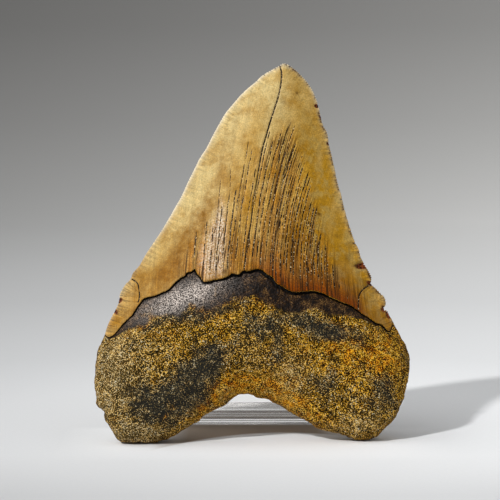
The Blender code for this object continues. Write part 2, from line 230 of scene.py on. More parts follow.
# The root's patches of colour: x, z, half width, half height, turn in degrees, strength.
DARK_ROOT = [
    (-28, 40, 9, 1.8, 22, 0.6),
    (-27.5, 13.5, 12, 6.5, 22, 1.25), (-21, 19, 7, 4.5, 35, 0.5), (-39, 16, 5, 5, 0, 0.4),
    (-15, 25.5, 8, 4.5, 32, 1.05),
    (-14, 41.5, 12, 2.5, 10, 0.6), (-4, 32, 5, 4, 30, 0.3), (3, 37, 5, 4, 0, 0.55),
    (22, 37, 12, 3.5, -12, 0.9),
    (7.5, 28, 2.6, 8, -10, 0.7), (24, 19, 5, 4, 0, 0.6), (44, 17, 4, 6, 0, 0.6),
    (37, 12, 5, 4, 0, 0.5), (27, 34, 6, 2.5, -10, 0.5), (-20, 48, 12, 2, 15, 0.4),
]  # fmt: skip
WARM_ROOT = [
    (-16, 43, 9, 3, 15, 0.8), (-36, 39, 5, 3, 35, 0.6), (4, 46, 6, 3.5, 0, 0.7),
    (33, 29, 12, 8, 0, 0.8), (46, 31, 5, 6, 0, 0.5), (-13, 14.5, 10, 3, 32, 1.3),
    (1.5, 18.6, 10, 2.2, 0, 1.3),
    (10, 15, 9, 3.2, -27, 1.2), (45, 23, 6, 6, 0, 0.5), (-29, 8, 1.6, 1.2, 0, 0.9),
    (-44, 29, 6, 6, 0, 0.15), (20, 8, 8, 2.5, -22, 0.6),
]  # fmt: skip
PALE_ROOT = [
    (-38, 3, 9, 3.5, 0, 0.7), (36, 5, 9, 3.5, 0, 0.5), (-46, 22, 7, 13, 0, 0.7),
    (12.5, 21, 5, 7, 0, 0.6), (0, 28, 5, 5, 0, 0.3),
]  # fmt: skip
# Small dark spots in the enamel; the first is painted shade in the chip's hollow.
CROWN_SPOTS = [
    (36.6, 59.7, 1.3, 0.5, 14, 1), (41, 52.9, 1.4, 0.5, 30, 0.6),
    (12.2, 130.6, 0.5, 0.3, 20, 0.9), (15.6, 130.4, 0.6, 0.35, -20, 0.8), (17.4, 120.3, 0.5, 0.45, 0, 0.9),
    (12.7, 116.7, 0.9, 0.8, 0, 0.35), (23.8, 77, 0.9, 0.5, -15, 0.9),
    (30.1, 69.7, 1.3, 0.8, 0, 0.35), (-2, 86, 0.7, 0.5, 0, 0.5), (14.6, 109.3, 1.2, 1, 0, 0.3),
    (8, 124.5, 0.4, 0.4, 0, 0.3), (23, 109, 0.5, 0.4, 0, 0.4), (33.5, 62, 1.6, 1.2, 20, 0.3),
]  # fmt: skip

# Browner patches of the crown.
BROWN_CROWN = [
    (-19, 72, 16, 3.4, 61, 1.2), (-27, 58, 12, 5.5, 36, 1), (17, 69, 8, 13, -15, 0.8),
    (20.5, 101, 3, 9, 10, 0.45), (-5, 62, 3, 9, -8, 0.5), (-8, 96, 2.5, 9, -15, 0.35),
    (-40, 44, 5, 3, 55, 0.5), (25, 56, 9, 5, -15, 0.6), (-2.5, 82, 2, 10, -8, 0.3),
]  # fmt: skip
# Paler, greyer streaks of the crown.
PALE_CROWN = [
    (37.6, 58, 2.4, 0.6, 12, 0.9), (-42, 51, 3, 5, -35, 0.5), (-34, 62, 2, 5, -30, 0.35),
    (14, 130.4, 2.4, 1.1, 0, 1), (33, 58, 3, 6, -25, 0.15), (29, 78, 1.6, 9, -14, 0.3),
    (25, 98, 1.4, 8, -8, 0.35), (44.5, 49, 2, 4, -30, 0.35),
    (9.5, 118, 4, 9, 0, 0.8), (5.5, 100, 2.2, 12, -10, 0.5), (-17.5, 78, 1.5, 10, -10, 0.2),
    (11, 84, 1.8, 12, -10, 0.3), (-13, 66, 1.6, 9, -8, 0.4), (3, 74, 1, 9, -8, 0.25),
]  # fmt: skip

SEED = 7


def add_object(name, data):
    obj = bpy.data.objects.new(name, data)
    bpy.context.scene.collection.objects.link(obj)
    return obj


# ==== shapes in the tooth's plane
def smoothstep(low, high, value):
    t = np.clip((value - low) / (high - low), 0.0, 1.0)
    return t * t * (3.0 - 2.0 * t)


def smooth_table(table, column, at):
    """A smooth curve through one column of a table by height, with no overshoot to speak of."""
    heights = np.array([row[0] for row in table], float)
    values = np.array([row[column] for row in table], float)
    slopes = np.gradient(values, heights)
    at = np.clip(at, heights[0], heights[-1])
    i = np.clip(np.searchsorted(heights, at) - 1, 0, len(heights) - 2)
    span = heights[i + 1] - heights[i]
    t = (at - heights[i]) / span
    return (
        (2 * t**3 - 3 * t**2 + 1) * values[i]
        + (t**3 - 2 * t**2 + t) * span * slopes[i]
        + (3 * t**2 - 2 * t**3) * values[i + 1]
        + (t**3 - t**2) * span * slopes[i + 1]
    )


def table(rows, at):
    return np.interp(at, *np.array(rows, float).T)


def curve_through(points, step):
    """A smooth line through these points (centripetal Catmull-Rom), with a point about every step."""
    points = np.array(points, float)
    before = 2 * points[0] - points[1]
    after = 2 * points[-1] - points[-2]
    padded = np.vstack([before, points, after])
    out = []
    for a, b, c, d in zip(padded, padded[1:], padded[2:], padded[3:]):
        ta = 0.0
        tb = ta + math.sqrt(np.linalg.norm(b - a))
        tc = tb + math.sqrt(np.linalg.norm(c - b))
        td = tc + math.sqrt(np.linalg.norm(d - c))
        count = max(1, round(np.linalg.norm(c - b) / step))
        t = np.linspace(tb, tc, count, endpoint=False)[:, None]
        ab = ((tb - t) * a + (t - ta) * b) / (tb - ta)
        bc = ((tc - t) * b + (t - tb) * c) / (tc - tb)
        cd = ((td - t) * c + (t - tc) * d) / (td - tc)
        abc = ((tc - t) * ab + (t - ta) * bc) / (tc - ta)
        bcd = ((td - t) * bc + (t - tb) * cd) / (td - tb)
        out.append(((tc - t) * abc + (t - tb) * bcd) / (tc - tb))
    return np.vstack(out + [points[-1:]])


def evenly(points, step):
    """The same line with its points a whole number of equal steps apart."""
    length = np.concatenate([[0.0], np.cumsum(np.linalg.norm(np.diff(points, axis=0), axis=1))])
    at = np.linspace(0.0, length[-1], max(2, round(length[-1] / step) + 1))
    return np.stack([np.interp(at, length, points[:, 0]), np.interp(at, length, points[:, 1])], axis=1), at


def normals_of(ring):
    """Outward normals of a counter-clockwise closed ring."""
    along = np.roll(ring, -1, axis=0) - np.roll(ring, 1, axis=0)
    out = np.stack([along[:, 1], -along[:, 0]], axis=1)
    return out / np.linalg.norm(out, axis=1)[:, None]


def make_rim():
    """The tooth's outline with its serrations, counter-clockwise: points, which are on the crown, wear."""
    generator = np.random.default_rng(SEED + 2)
    root_line = LEFT_ROOT[::-1] + BASAL_EDGE[1:] + RIGHT_ROOT[1:]
    crown_line = RIGHT_CROWN + TIP[::-1][1:] + LEFT_CROWN[::-1][1:]
    root, _ = evenly(curve_through(root_line, 0.2), ROOT_STEP)
    crown, at = evenly(curve_through(crown_line, 0.1), CROWN_STEP)
    ring = np.vstack([root, crown[1:-1]])
    on_crown = np.arange(len(ring)) >= len(root)
    out = normals_of(ring)
    # Rounded teeth with sharp notches between them; they fade where the crown ends.
    on_right = 1.0 - smoothstep(0.45, 0.55, at[1:-1] / at[-1])
    tooth_at = at[1:-1] / SERRATION_PITCH + 0.25 * np.sin(at[1:-1] / 3.1)
    phase = np.abs(np.sin(math.pi * tooth_at))
    wear = generator.uniform(0.15, 1.0, int(tooth_at.max()) + 3)
    worn = wear[np.floor(tooth_at + 0.5).astype(int)] * (0.35 + 0.65 * on_right)
    ends = smoothstep(0.0, 3.0, at[1:-1]) * smoothstep(0.0, 3.0, at[-1] - at[1:-1])
    ring[len(root) :] -= out[len(root) :] * (SERRATION_DEPTH * ends * worn * (1.0 - phase))[:, None]
    teeth = np.concatenate([np.ones(len(root)), 1.0 - worn * (1.0 - phase)])
    return ring, on_crown, teeth


def inside(ring, points):
    """Which points lie inside a closed ring."""
    result = np.zeros(len(points), bool)
    x, z = points.T
    for (ax, az), (bx, bz) in zip(ring, np.roll(ring, -1, axis=0)):
        if az == bz:
            continue
        crosses = (az > z) != (bz > z)
        result ^= crosses & (x < (bx - ax) * (z - az) / (bz - az) + ax)
    return result


def tree_of(points):
    tree = kdtree.KDTree(len(points))
    for i, (x, z) in enumerate(points):
        tree.insert((x, z, 0.0), i)
    tree.balance()
    return tree


def nearest(tree, points):
    """Distance to the nearest point of a tree, and its index, for each point."""
    found = [tree.find((x, z, 0.0)) for x, z in points]
    return np.array([f[2] for f in found]), np.array([f[1] for f in found])


def distance_to_line(points, line, closed=False):
    """Distance to a line, the side (positive to the left of its direction) and how far along it is."""
    distance, index = nearest(tree_of(line), points)
    length = np.concatenate([[0.0], np.cumsum(np.linalg.norm(np.diff(line, axis=0), axis=1))])
    best = np.full(len(points), np.inf)
    sign = np.ones(len(points))
    at = np.zeros(len(points))
    for shift in (-1, 0):
        i = index + shift
        i = i % len(line) if closed else np.clip(i, 0, len(line) - 2)
        a = line[i]
        b = line[(i + 1) % len(line)]
        side = b - a
        t = np.clip(((points - a) * side).sum(axis=1) / np.maximum((side**2).sum(axis=1), 1e-12), 0.0, 1.0)
        gap = points - (a + t[:, None] * side)
        d = np.linalg.norm(gap, axis=1)
        closer = d < best
        best = np.where(closer, d, best)
        turn = side[:, 0] * (points - a)[:, 1] - side[:, 1] * (points - a)[:, 0]
        sign = np.where(closer, np.sign(turn), sign)
        at = np.where(closer, length[i] + t * np.linalg.norm(side, axis=1), at)
    return best, sign, at


def hex_grid(step):
    rows = np.arange(-1.0, 133.0, step * math.sqrt(3) / 2)
    columns = np.arange(-55.0, 56.0, step)
    x = columns[None, :] + np.where(np.arange(len(rows)) % 2, step / 2, 0.0)[:, None]
    z = np.broadcast_to(rows[:, None], x.shape)
    return np.stack([x.ravel(), z.ravel()], axis=1)


def noise_at(points, size, seed, octaves=2):
    """Smooth noise about 0, with lumps of about this size."""
    offset = Vector((seed * 17.3, seed * 5.1, seed * 9.7))
    return np.array(
        [noise.fractal(Vector(p) / size + offset, 1.0, 2.0, octaves) for p in points.tolist()]
    )


# ==== depth of the tooth
def rounded(distance, reach):
    t = np.clip(distance / reach, 0.0, 1.0)
    return np.sqrt(1.0 - (1.0 - t) ** 2)


def blade_side(x, z):
    """-1 at the left cutting edge and 1 at the right one."""
    left = smooth_table(BLADE_EDGES, 1, z)
    right = smooth_table(BLADE_EDGES, 2, z)
    return np.clip((x - (left + right) / 2) / ((right - left) / 2), -1.0, 1.0)


def blade(x, z, crest, power):
    return smooth_table(crest, 1, z) * (1.0 - blade_side(x, z) ** 2) ** power


def rim_depth(z):
    return RIM_FORWARD * (1.0 - smoothstep(*RIM_FORWARD_FADES, z))


def blade_share(x, z, neck):
    return smoothstep(-NECK_BELOW, NECK_ABOVE, z - neck[0] + neck[1] * x**2)


def front_depth(x, z, distance):
    boss = np.exp(-(((x - BOSS_X) / BOSS_HALF_WIDTH) ** 2)) * smoothstep(BOSS_FOOT_Z, BOSS_TOP_Z, z)
    root = (LOBE_DEPTH + (BOSS_DEPTH - LOBE_DEPTH) * boss) * rounded(distance, ROOT_EDGE_REACH)
    share = blade_share(x, z, FRONT_NECK)
    swell = root * (1.0 - share) + blade(x, z, FRONT_CREST, BLADE_POWER) * share
    return rim_depth(z) + EDGE_WALL / 2 + swell


def back_depth(x, z, distance):
    hollow = ROOT_BACK_HOLLOW * np.exp(-((x / HOLLOW_HALF_WIDTH) ** 2))
    root = (ROOT_BACK_DEPTH - hollow) * rounded(distance, BACK_EDGE_REACH)
    share = blade_share(x, z, BACK_NECK)
    swell = root * (1.0 - share) + blade(x, z, BACK_CREST, BACK_POWER) * share
    return rim_depth(z) - EDGE_WALL / 2 - swell


def tooth_placing():
    lean = Matrix.Rotation(-math.radians(LEAN_DEG), 4, "X")
    turn = Matrix.Rotation(math.radians(TURN_DEG), 4, "Z")
    return Matrix.Translation(Vector((TOOTH_X, TOOTH_Y, TOOTH_Z)) * MM) @ turn @ lean


# ==== cracks
def fine_cracks(generator):
    """The field of fine cracks: (half width, depth, points), upright at the gum line, fanning right."""
    cracks = []
    start = FINE_FIRST
    while start < FINE_LAST:
        base = table(FRONT_GUM_LINE, start) + generator.uniform(0.3, 5.0)
        top = table(FINE_TOPS, start) - generator.uniform(0.0, 12.0)
        if generator.random() < 0.25:
            base += generator.uniform(5.0, 20.0)
        if top - base > 5.0:
            z = np.arange(base, top, 2.5)
            x = fanned(start, z) + generator.normal(0.0, 0.08, len(z))
            strength = generator.uniform(0.5, 1.0)
            cracks.append((0.40, 0.14 * strength, np.stack([x, z], axis=1)))
        start += table(FINE_SPACING, start) * generator.uniform(0.6, 1.4)
    return cracks


def back_cracks(generator):
    """A few fine cracks up the back of the crown, which leans with the blade."""
    cracks = []
    for start in BACK_CRACK_STARTS:
        z = np.arange(generator.uniform(46.0, 56.0), generator.uniform(75.0, 112.0), 4.0)
        x = start + (z - 46.0) * (0.16 - 0.006 * start) + generator.normal(0.0, 0.15, len(z))
        cracks.append((0.40, 0.14, np.stack([x, z], axis=1)))
    return cracks


def fanned(start, z):
    """Where a crack that starts at this x on the gum line has got to at each height."""
    up = np.clip(z - 52.0, 0.0, 80.0)
    right = np.maximum(0.0, start + 3.0)
    return start + (0.09 - 0.0045 * right) * up + (
        0.00165 * np.clip((start + 22.0) / 19.0, 0.2, 1.0) + 0.00018 * right
    ) * up**2


def crack_points(cracks, generator):
    """Points on each crack's floor and both lips. Returns places, depth below the enamel and darkness."""
    places, sunk, dark = [], [], []
    for half, depth, points in cracks:
        line, at = evenly(curve_through(points, 0.4), 0.5)
        along = np.gradient(line, axis=0)
        across = np.stack([along[:, 1], -along[:, 0]], axis=1) / np.linalg.norm(along, axis=1)[:, None]
        ends = smoothstep(0.0, 2.0, at) * smoothstep(0.0, 4.0, at[-1] - at)
        ends = np.ones(len(at)) if depth >= 0.25 else ends
        knots = np.arange(0.0, at[-1] + 2.0, 0.8)
        broken = np.interp(at, knots, generator.uniform(0.35, 1.1, len(knots)))
        broken = np.maximum(broken, 0.8) if depth > 0.35 else broken
        darkness = np.clip(ends * broken * (0.35 + depth * 5.0), 0.0, 1.0)
        rows = (-1.0, -0.35, 0.35, 1.0) if depth >= 0.25 else (-1.0, 0.0, 1.0)
        for row in rows:
            on_floor = abs(row) < 1.0
            places.append(line + across * half * row)
            sunk.append(depth * ends * on_floor)
            dark.append(darkness * on_floor)
    return np.vstack(places), np.concatenate(sunk), np.concatenate(dark)


# ==== the two faces of the tooth
def near(points, spots):
    """How much each point belongs to a list of soft ovals: x, z, half width, half height, turn, strength."""
    total = np.zeros(len(points))
    for x, z, wide, high, turn, strength in spots:
        c = math.cos(math.radians(turn))
        s = math.sin(math.radians(turn))
        dx = points[:, 0] - x
        dz = points[:, 1] - z
        a = (dx * c + dz * s) / wide
        b = (dz * c - dx * s) / high
        total += strength * np.exp(-(a**2 + b**2))
    return total


def join_points(rim, fixed, grid, gap):
    """The rim, then the fixed points clear of it, then the grid points clear of both."""
    fixed = fixed[inside(rim, fixed)]
    away, _ = nearest(tree_of(rim), fixed)
    fixed = fixed[away > PLACED_GAP]
    grid = grid[inside(rim, grid)]
    away, _ = nearest(tree_of(np.vstack([rim, fixed])), grid)
    return np.vstack([rim, fixed, grid[away > gap]])


def triangles(points, rim_count):
    """Triangles between these points, inside the rim, with the points' own numbering."""
    flat = [Vector(p) for p in points.tolist()]
    edges = [(i, (i + 1) % rim_count) for i in range(rim_count)]
    _, _, faces, origin, _, _ = delaunay_2d_cdt(flat, edges, [], 0, 1e-6, True)
    number = np.array([o[0] for o in origin])
    faces = number[np.array(faces)]
    middles = points[faces].mean(axis=1)
    return faces[inside(points[:rim_count], middles)]


def rim_rows(rim, on_crown, rows):
    """Rows of points just inside the root's rim, and two just inside the cutting edge."""
    out = normals_of(rim)
    root = [rim[~on_crown] - out[~on_crown] * row for row in rows]
    middle = (np.roll(rim, 2, axis=0) + rim + np.roll(rim, -2, axis=0)) / 3
    edge = [middle[on_crown] - out[on_crown] * 0.35, middle[on_crown][::2] - out[on_crown][::2] * 0.75]
    return np.vstack(root + edge)


def crown_coordinate(x, z):
    """Constant along the cracks of the crown, and equal to x at the gum line."""
    at = x.copy()
    for _ in range(8):
        at = 0.5 * at + 0.5 * (x - (fanned(at, z) - at))
    return at


def below(line, distance):
    """The line moved down, square to itself, by a distance or by one for each point."""
    along = np.gradient(line, axis=0)
    down = np.stack([along[:, 1], -along[:, 0]], axis=1) / np.linalg.norm(along, axis=1)[:, None]
    return line + down * np.broadcast_to(distance, len(line))[:, None]


def clear_of(lips, room, made):
    """The crack points that are at least this far from the lips of the gum line."""
    clear, _ = nearest(tree_of(lips), made[0])
    keep = clear > room
    return [values[keep] for values in made]


def lay_out(rim, on_crown, gum, fixed, rows, step, gap):
    """A face's points, their distance from the rim, how far along it and how far over the gum line."""
    fixed = np.vstack(fixed + [rim_rows(rim, on_crown, rows)])
    points = join_points(rim, fixed, hex_grid(step), gap)
    distance, _, along_rim = distance_to_line(points, rim, closed=True)
    distance[: len(rim)] = 0.0
    away, sign, _ = distance_to_line(points, gum)
    over = np.where(away < SAME_PLACE, 0.0, away * sign)  # negative under the enamel's edge
    return points, distance, along_rim, over


def front_face(rim, on_crown):
    """Points, depth and the masks of the front."""
    generator = np.random.default_rng(SEED)
    gum, _ = evenly(curve_through(FRONT_GUM_LINE, 0.1), 0.4)
    gum[1:-1] += generator.normal(0.0, 0.05, (len(gum) - 2, 2))
    width = table(GUM_CRACK, gum[:, 0])
    lips = np.vstack([gum, below(gum, 0.13), below(gum, width), below(gum, width + 0.3)])
    made = crack_points(LONG_CRACKS + fine_cracks(generator), generator)
    crack_at, crack_sunk, crack_dark = clear_of(lips, 0.2, made)
    points, distance, along_rim, over = lay_out(
        rim, on_crown, gum, [lips, crack_at], ROOT_RINGS, FRONT_GRID, FRONT_GAP
    )
    x, z = points.T
    enamel = over > -0.05
    width = table(GUM_CRACK, x)

    deep = front_depth(x, z, distance)
    inwards = smoothstep(0.0, 5.0, distance)
    step = ENAMEL_STEP * inwards * (1.0 - smoothstep(2.0, 12.0, -over))
    gap = (1.0 - smoothstep(width - 0.02, width + 0.28, -over)) * smoothstep(0.0, 3.0, distance)
    deep -= np.where(enamel, 0.22 * inwards * np.exp(-over / 0.4), step + 0.8 * gap)

    away, index = nearest(tree_of(crack_at), points)
    on_crack = away < SAME_PLACE
    deep -= np.where(on_crack, crack_sunk[index], 0.0)
    crack = np.where(on_crack, crack_dark[index], 0.0)
    crack = np.where(enamel, crack, np.maximum(crack, gap))

    flake_line, _ = evenly(curve_through(FLAKE + FLAKE[:1], 0.5), 0.5)
    flake_line = flake_line[:-1]
    away, _, _ = distance_to_line(points, flake_line, closed=True)
    flake = np.where(inside(flake_line, points), away, -away)
    peel = smoothstep(-1.0, 3.5, flake) * enamel
    deep -= 0.12 * smoothstep(-0.5, 1.5, flake) * enamel * (1.0 - smoothstep(62.0, 80.0, z))

    chip = np.zeros(len(points))
    for cx, cz, wide, high, turn, depth in CHIPS:
        part = smoothstep(0.25, 0.75, near(points, [(cx, cz, wide, high, turn, 1.0)]))
        deep -= depth * part
        chip = np.maximum(chip, part)
    peel *= np.clip(0.45 + near(points, [FLAKE_RIDGE]), 0.0, 1.0)
    deep += near(points, [KNOB])
    deep = np.maximum(deep, rim_depth(z) - 0.1)
    masks = {
        "enamel": enamel * 1.0, "crack": crack, "chip": chip, "peel": peel, "along": along_rim / 100.0
    }  # fmt: skip
    return points, deep, distance, over, masks


def back_face(rim, on_crown):
    """Points, depth and the masks of the back, whose enamel reaches lower."""
    generator = np.random.default_rng(SEED + 1)
    gum, _ = evenly(curve_through(BACK_GUM_LINE, 0.1), 0.7)
    gum[1:-1, 1] += generator.normal(0.0, 0.12, len(gum) - 2)
    lips = np.vstack([gum, below(gum, 0.2), below(gum, 0.6), below(gum, 1.0)])
    crack_at, crack_sunk, crack_dark = clear_of(lips, 0.3, crack_points(back_cracks(generator), generator))
    points, distance, along_rim, over = lay_out(
        rim, on_crown, gum, [lips, crack_at], ROOT_RINGS[1:], BACK_GRID, BACK_GAP
    )
    x, z = points.T
    enamel = over > -0.05
    deep = back_depth(x, z, distance)
    inwards = smoothstep(0.0, 5.0, distance)
    step = ENAMEL_STEP * inwards * (1.0 - smoothstep(2.0, 12.0, -over))
    gap = (1.0 - smoothstep(0.5, 0.95, -over)) * smoothstep(0.0, 3.0, distance)
    deep += np.where(enamel, 0.22 * inwards * np.exp(-over / 0.4), step + 0.3 * gap)
    away, index = nearest(tree_of(crack_at), points)
    on_crack = away < SAME_PLACE
    deep += np.where(on_crack, crack_sunk[index], 0.0)
    crack = np.where(enamel, np.where(on_crack, crack_dark[index], 0.0), gap)
    nothing = np.zeros(len(points))
    masks = {
        "enamel": enamel * 1.0, "crack": crack, "chip": nothing, "peel": nothing, "along": along_rim / 100.0
    }  # fmt: skip
    return points, deep, distance, over, masks


def colour_masks(points, distance, over, masks, front):
    """Where each of the tooth's colours lies."""
    x, z = points.T
    side = blade_side(x, z)
    enamel = masks["enamel"]
    root = 1.0 - enamel
    up_blade = smoothstep(58.0, 80.0, z)
    pale_crown = 0.9 * smoothstep(0.2, 0.8, -side) * up_blade + 0.35 * smoothstep(98.0, 124.0, z)
    pale_crown += near(points, PALE_CROWN) + 0.35 * smoothstep(0.85, 1.0, side) * up_blade
    masks["pale"] = enamel * np.clip(pale_crown, 0.0, 1.0) + root * np.clip(near(points, PALE_ROOT), 0.0, 1.0)
    masks["olive"] = enamel * smoothstep(0.1, 0.7, side) * (1.0 - 0.6 * smoothstep(95.0, 122.0, z))
    low = np.exp(-((np.clip(over, 0.0, 99.0) / 9.0) ** 1.5))
    right = 0.22 + 0.78 * smoothstep(-6.0, 10.0, x) * (1.0 - 0.75 * smoothstep(35.0, 41.0, x))
    masks["warm"] = enamel * low * right + root * np.clip(near(points, WARM_ROOT), 0.0, 1.0)
    brown = near(points, BROWN_CROWN) if front else 0.0 * x
    masks["stain"] = np.clip(root * near(points, DARK_ROOT) + enamel * brown, 0.0, 1.0)
    height = table(BAND, x) if front else 2.0
    masks["band"] = root * (1.0 - smoothstep(0.7, 1.3, -over / np.maximum(height, 0.1)))
    masks["edge"] = np.exp(-distance / 0.55)
    corner = smoothstep(36.0, 39.0, np.abs(x))
    masks["margin"] = enamel * (0.7 * np.exp(-distance / 2.75) + 0.5 * corner * np.exp(-distance / 9.0))
    masks["band_glint"] = root * np.clip(near(points, [GLINT_BAND]), 0.0, 1.0) if front else 0.0 * x
    spots = near(points, CROWN_SPOTS) + 1.4 * near(points, [KNOB])
    masks["spot"] = enamel * np.clip(spots, 0.0, 1.0) if front else 0.0 * x
    crown_x = crown_coordinate(x, z)
    top = table(FINE_TOPS, crown_x)
    across = smoothstep(-27.0, -21.0, crown_x) * (1.0 - smoothstep(27.0, 35.0, crown_x))
    sparse = (1.0 - smoothstep(-5.0, 3.0, crown_x)) * smoothstep(60.0, 80.0, z)
    field = across * (1.0 - 0.65 * sparse) * (1.0 - smoothstep(top - 12.0, top - 2.0, z))
    masks["field"] = enamel * field * (1.0 if front else 0.35)
    masks["crown_x"] = crown_x
    return masks


def make_tooth():
    rim, on_crown, teeth = make_rim()
    count = len(rim)
    places, faces, sheets = [], [], []
    start = 0
    for front in (True, False):
        points, deep, distance, over, masks = (front_face if front else back_face)(rim, on_crown)
        masks = colour_masks(points, distance, over, masks, front)
        _, closest = nearest(tree_of(rim), points)
        masks["teeth"] = teeth[closest]
        masks["over"] = over
        masks["near_rim"] = distance
        places.append(np.stack([points[:, 0], -deep, points[:, 1]], axis=1))
        sheets.append(masks)
        made = triangles(points, count) + start
        faces += (made if front else made[:, ::-1]).tolist()
        if front:
            back_start = len(points)
        start += len(points)
    for i in range(count):
        j = (i + 1) % count
        faces.append((j, i, back_start + i, back_start + j))
    places = np.vstack(places)
    masks = {key: np.concatenate([sheet[key] for sheet in sheets]) for key in sheets[0]}

    data = bpy.data.meshes.new("tooth_fine")
    data.from_pydata((places * MM).tolist(), [], faces)
    data.update()
    normals = np.empty(len(places) * 3)
    data.vertices.foreach_get("normal", normals)
    normals = normals.reshape(-1, 3)
    roughen(places, normals, masks)
    data.vertices.foreach_set("co", (places * MM).ravel())
    data.transform(tooth_placing())
    keep_off_floor(data)
    data.update()
    data.shade_smooth()
    add_masks(data, places, masks)
    corners = np.array([face[:3] for face in faces])
    is_root = masks["enamel"][corners].min(axis=1) < 0.5
    is_band = is_root & (masks["band"][corners].min(axis=1) > 0.5)
    data.polygons.foreach_set("material_index", is_root.astype(np.int32) + is_band)
    return add_object("tooth_fine", data)


def roughen(places, normals, masks):
    """Grain and lumps of the root, and a slight unevenness of the enamel."""
    root = 1.0 - masks["enamel"]
    under = smoothstep(0.3, 2.5, -masks["over"]) * root
    band = masks["band"]
    grain = noise_at(places, 1.3, 1, 2)
    lumps = noise_at(places, 6.0, 2, 3)
    slant = math.radians(32.0)
    along = places[:, 0] * math.cos(slant) + places[:, 2] * math.sin(slant)
    across = places[:, 2] * math.cos(slant) - places[:, 0] * math.sin(slant)
    ridges = noise_at(np.stack([along / 4.0, places[:, 1], across], axis=1), 2.6, 5, 2)
    moved = under * (1.0 - 0.75 * band) * (0.20 * grain + 0.36 * lumps + 0.34 * ridges)
    moved += under * band * 0.08 * grain
    inwards = smoothstep(1.0, 6.0, masks["near_rim"])
    moved += masks["enamel"] * inwards * 0.10 * noise_at(places, 9.0, 3, 2)
    moved += masks["peel"] * 0.09 * noise_at(places, 0.9, 4, 2)
    places += normals * moved[:, None]


def keep_off_floor(data):
    co = np.empty(len(data.vertices) * 3)
    data.vertices.foreach_get("co", co)
    co = co.reshape(-1, 3)
    co[:, 2] = np.maximum(co[:, 2], FLOOR_GAP * MM)
    data.vertices.foreach_set("co", co.ravel())


SHADER_MASKS = (
    "crack", "chip", "peel", "pale", "olive", "warm", "stain", "band", "edge", "band_glint", "teeth", "spot",
    "field", "margin", "along",
)  # fmt: skip


def add_masks(data, places, masks):
    for name in SHADER_MASKS:
        layer = data.attributes.new(name, "FLOAT", "POINT")
        layer.data.foreach_set("value", np.ascontiguousarray(masks[name], dtype=np.float32))
    corners = np.empty(len(data.loops), dtype=np.int32)
    data.loops.foreach_get("vertex_index", corners)
    across = masks["crown_x"][corners] / 100.0
    up = places[corners, 2] / 100.0
    layer = data.uv_layers.new(name="crown")
    layer.uv.foreach_set("vector", np.stack([across, up], axis=1).astype(np.float32).ravel())


# ==== materials
def srgb(red, green, blue):
    """A colour given as it looks on the screen, 0 to 255."""
    return tuple(
        v / 12.92 if v <= 0.04045 else ((v + 0.055) / 1.055) ** 2.4
        for v in (red / 255, green / 255, blue / 255)
    ) + (1.0,)


